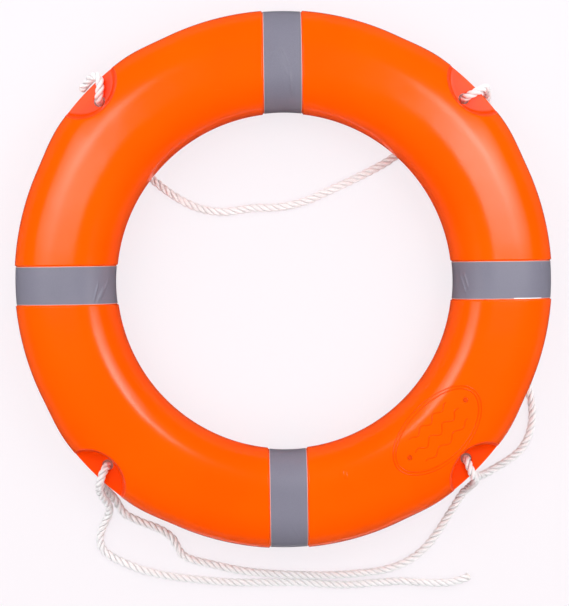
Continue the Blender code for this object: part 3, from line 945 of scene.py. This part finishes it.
def lobe_radius(turn):
    """Distance from the rope's middle to its surface, turn radians away from the middle of a strand."""
    a, b = STRAND_RADIUS, STRAND_RADIUS * STRAND_FLATTENING
    c, s = np.cos(turn), np.sin(turn)
    # where a ray from the middle leaves the strand, an ellipse that is wider than it is high
    p = (c / a) ** 2 + (s / b) ** 2
    q = STRAND_OFFSET * c / a**2
    k = (STRAND_OFFSET / a) ** 2 - 1
    return (q + np.sqrt(np.clip(q * q - p * k, 0, None))) / p


def strand_section():
    """Points round the rope: their directions, distances from its middle, and depth in a valley."""
    half = np.radians(STRAND_ANGLES)
    lobe = np.concatenate([-half[:0:-1], half])
    around = np.concatenate([lobe + strand * math.tau / 3 for strand in range(3)])
    low, high = np.radians(VALLEY_ANGLES)
    depth = np.clip((np.abs(lobe) - low) / (high - low), 0, 1)
    return around, np.tile(lobe_radius(lobe), 3), np.tile(depth, 3)


def melted_ends(length):
    """How far the strands have run together along the rope, and its size, rounded off at both ends."""
    from_end = np.minimum(length, length[-1] - length)
    melted = 1 - smooth_step(from_end / SEAL_LENGTH)
    cap = np.sqrt(1 - (1 - np.clip(from_end / CAP_LENGTH, 0, 1)) ** 2)
    swelling = SEAL_SWELLING * np.exp(-(((from_end - CAP_LENGTH) / CAP_LENGTH) ** 2))
    return melted, np.maximum(cap, CAP_LEAST_SIZE) * (1 + swelling)


def make_rope():
    line = rope_path()
    forward, side, up = frames_along(line)
    length = ROPE_STEP * np.arange(len(line))
    around, reach, depth = strand_section()
    melted, size = melted_ends(length)
    radii = reach[None, :] * (1 - melted[:, None]) + SEAL_RADIUS * melted[:, None]
    radii = radii * size[:, None]

    drift = LAY_DRIFT * np.sin(length * LAY_DRIFT_RATE)
    unevenness = LAY_UNEVENNESS * np.sin(length * LAY_WAVE_RATE + drift)
    twist = -(math.tau * length / LAY_PITCH + unevenness)
    turn = around[None, :] + twist[:, None]
    across, above = radii * np.cos(turn), radii * np.sin(turn)
    points = line[:, None, :] + across[:, :, None] * side[:, None, :] + above[:, :, None] * up[:, None, :]
    points[:, :, 2] = np.maximum(points[:, :, 2], 0.0)

    mesh = mesh_of("grab_rope", points, tube_faces(len(line), len(around)))
    along = np.broadcast_to(length[:, None] / FIBRE_STRETCH, across.shape)
    layer = mesh.attributes.new("fibre", "FLOAT_VECTOR", "POINT")
    fibre = np.stack([across, above, along], axis=-1)
    layer.data.foreach_set("vector", fibre.reshape(-1).astype(np.float32))
    # How deep each point lies in a valley between strands, for the painted shade there
    add_attribute(mesh, "valley", depth[None, :] * (1 - melted[:, None]))
    add_attribute(mesh, "melted", np.repeat(melted, len(around)))
    rope = new_object("grab_rope", mesh, ROPE)
    ride(rope, "rope", *ROPE_ROUTE)


make_rope()


# Shell


def turned(name, profile, sides, place, material):
    """A closed solid turned about its own axis, from a profile of (radius, height)."""
    points = [(r * math.cos(a), r * math.sin(a), z) for r, z in profile for a in circle(sides)]
    mesh = mesh_of(name, points, tube_faces(len(profile), sides))
    return new_object(name, mesh, material, place)


def hole_profile(radius, lip, half_height, margin):
    """Profile of a cutter for a hole through a plate, flared so that both rims of the hole are rounded."""
    quarter = [math.pi / 2 * step / LIP_STEPS for step in range(LIP_STEPS + 1)]
    upper = [(radius + lip, half_height + margin)]
    upper += [(radius + lip * (1 - math.sin(t)), half_height - lip * (1 - math.cos(t))) for t in quarter]
    return upper + [(r, -z) for r, z in reversed(upper)]


def on_crown(angle, radius):
    """Where a direction from the ring's axis crosses the crown, in the ring's own frame."""
    across = max(abs(radius - TUBE_RADIUS) - LAND_WIDTH / 2, 0.0) / SHOULDER_WIDTH
    height = HALF_HEIGHT * (1 - across**SECTION_EXPONENT) ** (1 / SECTION_EXPONENT)
    return Vector((radius * math.cos(angle), radius * math.sin(angle), height))


def port_places():
    half = PORT_SPACING / 2 / PORT_CIRCLE_RADIUS
    return {
        name: on_crown(math.radians(PORT_ANGLE) + side * half, PORT_CIRCLE_RADIUS)
        for name, side in (("fill_plug", -1), ("vent_plug", 1))
    }


def hole_cutters():
    cutters = []
    profile = hole_profile(EYELET_HOLE_RADIUS, HOLE_LIP, HALF_WEB, HOLE_LIP)
    for name, angle in EYELET_ANGLES.items():
        at = math.radians(angle)
        place = Matrix.Translation((EYELET_RADIUS * math.cos(at), EYELET_RADIUS * math.sin(at), 0))
        cutters.append(turned("eyelet_" + name, profile, HOLE_SIDES, place, None))
    profile = hole_profile(PORT_RADIUS, PORT_LIP, PORT_DEPTH, PORT_LIP)
    for name, place in port_places().items():
        place = Matrix.Translation(place)
        cutters.append(turned("port_" + name, profile, PORT_SIDES, place, None))
    return cutters


def make_shell():
    angles = section_angles()
    columns = ring_columns()
    points = ring_surface(ring_field, columns, angles)
    mesh = mesh_of("shell_surface", points, grid_faces(len(columns), len(angles), closed=True))
    shell = new_object("shell_surface", mesh, SHELL)
    cutters = hole_cutters()
    for cutter in cutters:
        modifier = shell.modifiers.new(cutter.name, "BOOLEAN")
        modifier.object = cutter
        modifier.operation = "DIFFERENCE"
        modifier.solver = "EXACT"
    mesh = applied(shell)
    for cutter in cutters:
        bpy.data.objects.remove(cutter, do_unlink=True)
    mesh.shade_smooth()
    mesh.set_sharp_from_angle(angle=SHARP_ANGLE)
    shell.matrix_world = RING_PLACE
    ride(shell, "shell", "shell")


make_shell()


# Plugs in the two ports of the shell


def make_plug(name, place):
    radius, rim, pit = PLUG_RADIUS, PLUG_RIM, PLUG_PIT_RADIUS
    profile = [
        (PLUG_INNERMOST, -PLUG_RECESS - PLUG_PIT_DEPTH),
        (pit * 0.7, -PLUG_RECESS - PLUG_PIT_DEPTH),
        (pit * 0.95, -PLUG_RECESS - PLUG_PIT_DEPTH * 0.7),
        (pit, -PLUG_RECESS - rim),
        (pit + rim * 0.3, -PLUG_RECESS - rim * 0.3),
        (pit + rim, -PLUG_RECESS),
        (radius - rim, -PLUG_RECESS),
        (radius - rim * 0.3, -PLUG_RECESS - rim * 0.3),
        (radius, -PLUG_RECESS - rim),
        (radius, -PLUG_VISIBLE_DEPTH),
        (PLUG_INNERMOST, -PLUG_VISIBLE_DEPTH),
    ]
    place = RING_PLACE @ Matrix.Translation(place)
    ride(turned(name + "_head", profile, PORT_SIDES, place, PLUG), "plug", name)


for plug_name, port in port_places().items():
    make_plug(plug_name, port)


# Raised marks on the crown: an oval of two lines round a wave motif, and the moulding's gate mark


def swept(name, paths, radius, material):
    """Round beads of one radius along lines on the crown, as one object."""
    points, faces = [], []
    around = np.array(circle(BEAD_SIDES))[None, :, None]
    for line, closed in paths:
        line = np.array(line)
        if closed:
            forward = np.roll(line, -1, axis=0) - np.roll(line, 1, axis=0)
        else:
            forward = np.gradient(line, axis=0)
        forward /= np.linalg.norm(forward, axis=1)[:, None]
        side = np.cross(forward, (0.0, 0.0, 1.0))
        side /= np.linalg.norm(side, axis=1)[:, None]
        up = np.cross(side, forward)
        size = np.ones(len(line))
        if not closed:
            from_end = np.minimum(np.arange(len(line)), np.arange(len(line))[::-1])
            share = np.clip((from_end + BEAD_BLUNTNESS) / BEAD_TAPER, 0, 1)
            size = np.sqrt(1 - (1 - share) ** 2)
        ring = side[:, None, :] * np.cos(around) + up[:, None, :] * np.sin(around)
        loops = line[:, None, :] + ring * (radius * size)[:, None, None]
        if closed:
            faces += (grid_faces(len(line), BEAD_SIDES, closed) + len(points)).tolist()
        else:
            faces += tube_faces(len(line), BEAD_SIDES, len(points))
        points += loops.reshape(-1, 3).tolist()
    return new_object(name, mesh_of(name, points, faces), material, RING_PLACE)


def on_mark(along, across, sunk):
    """A point of the oval mark, by its distances from the middle: anticlockwise and outwards."""
    point = on_crown(math.radians(MARK_ANGLE) + along / TUBE_RADIUS, MARK_MIDDLE_RADIUS + across)
    return tuple(point - Vector((0, 0, sunk)))


def make_mark():
    # The oval and the waves both take painted shade, the darker copy of the shell's material
    outlines = []
    for inset in (0.0, MARK_LINE_SPACING):
        half_length, half_width = MARK_LENGTH / 2 - inset, MARK_WIDTH / 2 - inset
        oval = [
            on_mark(half_length * math.cos(t), half_width * math.sin(t), MARK_LINE_SUNK)
            for t in circle(MARK_STEPS)
        ]
        outlines.append((oval, True))
    ride(swept("mark_outline", outlines, MARK_LINE_RADIUS, SHADED_MARK_SHELL), "shell")

    waves = []
    for across, half_length, height in MARK_WAVES:
        crests = 2 * half_length / WAVE_LENGTH
        wave = []
        for step in range(WAVE_STEPS + 1):
            share = 2 * step / WAVE_STEPS - 1
            fade = 1 - abs(share) ** WAVE_FADE
            swing = height * fade * math.cos(math.pi * crests * share)
            wave.append(on_mark(half_length * share, across + swing, MARK_LINE_SUNK))
        waves.append((wave, False))
    ride(swept("mark_waves", waves, MARK_LINE_RADIUS, SHADED_MARK_SHELL), "shell")


def make_gate_mark():
    """A low oval pad, rounded off at its rim."""
    middle = on_crown(math.radians(GATE_ANGLE), GATE_RADIUS)
    points = []
    for reach, height in GATE_PROFILE:
        for turn in circle(GATE_SIDES):
            along = reach * GATE_HALF_LENGTH * math.cos(turn)
            beside = reach * GATE_HALF_WIDTH * math.sin(turn)
            x = middle.x + along * math.cos(GATE_TURN) - beside * math.sin(GATE_TURN)
            y = middle.y + along * math.sin(GATE_TURN) + beside * math.cos(GATE_TURN)
            surface = on_crown(math.atan2(y, x), math.hypot(x, y))
            points.append((x, y, surface.z + height * GATE_HEIGHT))
    points += [(x, y, z - GATE_HEIGHT) for x, y, z in points[-GATE_SIDES:]]
    mesh = mesh_of("gate_mark", points, tube_faces(len(GATE_PROFILE) + 1, GATE_SIDES))
    ride(new_object("gate_mark", mesh, SHELL, RING_PLACE), "shell")


make_mark()
make_gate_mark()


# Reflective tapes: each goes once round the tube, and its end laps over its start under the ring


def tape_creases(name, beside, angles):
    """How far the tape's small creases lift its outer face."""
    lift = 0.0
    for start, end, width, height in TAPE_CREASES[name]:
        along = (angles - math.radians(start[1])) / math.radians(end[1] - start[1])
        line = start[0] + (end[0] - start[0]) * np.clip(along, 0, 1)
        ends = smooth_step(along / CREASE_FADE) * smooth_step((1 - along) / CREASE_FADE)
        lift = lift + height * ends * np.exp(-(((beside - line) / width) ** 2))
    return lift


def make_tape(name, axis):
    half = TAPE_WIDTH / 2
    rim = half - np.array(TAPE_RIM)
    plain = np.linspace(-TAPE_PLAIN_HALF_WIDTH, TAPE_PLAIN_HALF_WIDTH, TAPE_PLAIN_LINES)
    beside = np.concatenate([-rim, plain, rim[::-1]])
    from_edge = half - np.abs(beside)
    angles = np.radians(np.linspace(0, 360, TAPE_STEPS + 1)[:-1])
    lap = smooth_step((angles - math.radians(LAP_START)) / LAP_RAMP)
    lap = lap * smooth_step((math.radians(LAP_END) - angles) / LAP_RAMP)
    lift = tape_creases(name, beside[:, None], angles[None, :]) + TAPE_LAP_THICKNESS * lap[None, :]
    edge = (from_edge < TOLERANCE)[:, None]
    outer = GROOVE_DEPTH - GAP - TAPE_THICKNESS + TAPE_EDGE_ROUNDING * edge - lift
    inner = np.full_like(outer, GROOVE_DEPTH - GAP)

    columns = np.array([[axis, 1 if b >= 0 else -1, math.asin(abs(b) / TUBE_RADIUS)] for b in beside])
    sheets = [
        ring_surface(lambda x, y, z: torus_field(x, y, z) + outer, columns, angles),
        ring_surface(lambda x, y, z: torus_field(x, y, z) + inner, columns[::-1], angles),
    ]
    faces = grid_faces(2 * len(columns), TAPE_STEPS, closed=True)
    mesh = mesh_of(name + "_band", np.concatenate(sheets), faces)
    mesh.set_sharp_from_angle(angle=TAPE_SHARP_ANGLE)

    degrees = np.degrees(angles)
    lifted = (degrees > LIFTED_BORDER[0]) & (degrees < LIFTED_BORDER[1]) & (name == "tape_right")
    border = from_edge < TAPE_BORDER + TOLERANCE
    backing = (from_edge < TAPE_BACKING + TOLERANCE) & (beside < 0)
    borders, backings = (np.concatenate([lines, lines[::-1]]) for lines in (border, backing))
    add_attribute(mesh, "border", np.repeat(borders, TAPE_STEPS))
    add_attribute(mesh, "backing", backings[:, None] & lifted[None, :])
    ride(new_object(name + "_band", mesh, TAPE, RING_PLACE), "tape", name)


for step, tape_name in enumerate(TAPE_CREASES):
    make_tape(tape_name, step * math.pi / 2)


# Foam inside the shell


def make_foam_material():
    g = MaterialGraph("polyurethane_foam")
    cells = g.node("TexVoronoi", {"Vector": g.object, "Scale": 900.0}, "Distance")
    color = g.mix(g.span(cells, 0.2, 0.8), *FOAM_COLORS)
    return g.finish(color, 0.9, g.bump(cells, 0.5, 0.0008))


for slot in bpy.data.objects[frame["nodes"]["foam_core"].name].material_slots:
    slot.material = make_foam_material()


# Floor, backdrop and lights


def floor_glow(g):
    """The glow's share, color and strength. It is for the camera, and faintly for reflections."""
    path = g.nodes.new("ShaderNodeLightPath").outputs
    from_axis = g.node("VectorMath", {0: g.object}, "Value", operation="LENGTH")
    inside = g.span(from_axis, *UNDER_RING_FROM)
    outside = g.span(from_axis, *reversed(UNDER_RING_TO))
    open_floor = g.math("SUBTRACT", 1.0, g.math("MULTIPLY", inside, outside))
    seen = g.math("MULTIPLY", path["Is Camera Ray"], FLOOR_GLOW)
    share = g.math("MAXIMUM", seen, path["Is Glossy Ray"])
    strength = g.math("MULTIPLY_ADD", path["Is Glossy Ray"], FLOOR_IN_REFLECTIONS - 1.0, 1.0)
    # Under the ring the glow's color is a painted shadow, dark and reddish
    return share, g.mix(open_floor, UNDER_RING_SHADOW_COLOR, BACKGROUND_COLOR), strength


def make_floor():
    g = MaterialGraph("pale_paper")
    grain = g.noise(500.0)
    color = g.mix(g.span(grain, 0.3, 0.7), *FLOOR_COLORS)
    paper = g.finish(color, 0.9, g.bump(grain, 0.05, 0.0003), Specular_IOR_Level=0.0)
    glow = g.nodes.new("ShaderNodeEmission")
    share, color, strength = floor_glow(g)
    g.links.new(color, glow.inputs["Color"])
    g.links.new(strength, glow.inputs["Strength"])
    blend = g.nodes.new("ShaderNodeMixShader")
    g.links.new(share, blend.inputs[0])
    g.links.new(g.shader.outputs[0], blend.inputs[1])
    g.links.new(glow.outputs[0], blend.inputs[2])
    g.links.new(blend.outputs[0], g.nodes["Material Output"].inputs["Surface"])
    half = FLOOR_SIZE / 2
    corners = [(-half, -half, 0.0), (half, -half, 0.0), (half, half, 0.0), (-half, half, 0.0)]
    mesh = mesh_of("floor", corners, [(0, 1, 2, 3)], smooth=False)
    floor = new_object("floor", mesh, paper)
    floor.location.z = -FLOOR_DROP


def make_world():
    """The background for the camera alone."""
    world = bpy.data.worlds.new("studio")
    bpy.context.scene.world = world
    world.use_nodes = True
    nodes, links = world.node_tree.nodes, world.node_tree.links
    background = nodes["Background"]
    background.inputs["Color"].default_value = (*BACKGROUND_COLOR, 1.0)
    links.new(nodes.new("ShaderNodeLightPath").outputs["Is Camera Ray"], background.inputs["Strength"])


def make_fill(name, strength, source, width):
    data = bpy.data.lights.new(name, "SUN")
    data.energy = strength
    data.angle = math.radians(width)
    data.color = FILL_COLOR
    data.cycles.use_multiple_importance_sampling = False
    light = bpy.data.objects.new(name, data)
    bpy.context.scene.collection.objects.link(light)
    light.rotation_euler = (-Vector(source)).to_track_quat("-Z", "Y").to_euler()
    light.visible_glossy = False


def softbox_profile(g, fade_length, reach):
    """The light's strength over the softbox, by its distances from the ring's axis and from the x axis."""
    axes = g.axes(g.nodes.new("ShaderNodeNewGeometry").outputs["Position"])
    across, along = g.math("ABSOLUTE", axes["X"]), axes["Y"]
    steps = g.math("MULTIPLY_ADD", across, -1 / fade_length, SOFTBOX_X[0] / fade_length)
    fade = g.math("EXPONENT", steps)
    width, least = SOFTBOX_INNER_BORDER
    inner = g.span(across, SOFTBOX_X[0], SOFTBOX_X[0] + width, least, 1.0)
    width, least = SOFTBOX_LOWER_BORDER
    lower = g.span(along, SOFTBOX_Y[0], SOFTBOX_Y[0] + width, least, 1.0)
    widened = g.math("MAXIMUM", across, SOFTBOX_WIDENS_FROM)
    slanted = g.math("MULTIPLY_ADD", widened, -SOFTBOX_WIDENING, along)
    border = reach - SOFTBOX_WIDENING * SOFTBOX_WIDENS_FROM
    upper = g.span(slanted, border - SOFTBOX_UPPER_BLUR, border + SOFTBOX_UPPER_BLUR, 1.0, 0.0)
    strength = g.math("MULTIPLY", g.math("MULTIPLY", fade, inner), lower)
    return g.math("MULTIPLY", strength, upper)


def make_softbox(name, side, power, fade_length, reach):
    data = bpy.data.lights.new(name, "AREA")
    data.shape = "RECTANGLE"
    data.size, data.size_y = SOFTBOX_X[1] - SOFTBOX_X[0], SOFTBOX_Y[1] - SOFTBOX_Y[0]
    data.energy = power
    data.use_nodes = True
    g = Graph(data.node_tree)
    g.put(g.nodes["Emission"].inputs["Strength"], softbox_profile(g, fade_length, reach))
    light = bpy.data.objects.new(name, data)
    bpy.context.scene.collection.objects.link(light)
    light.location = (side * sum(SOFTBOX_X) / 2, sum(SOFTBOX_Y) / 2, SOFTBOX_HEIGHT)


make_floor()
make_world()
for fill in FILLS:
    make_fill(*fill)
for box_of_light in SOFTBOXES:
    make_softbox(*box_of_light)
bpy.context.scene.view_settings.view_transform = "Standard"
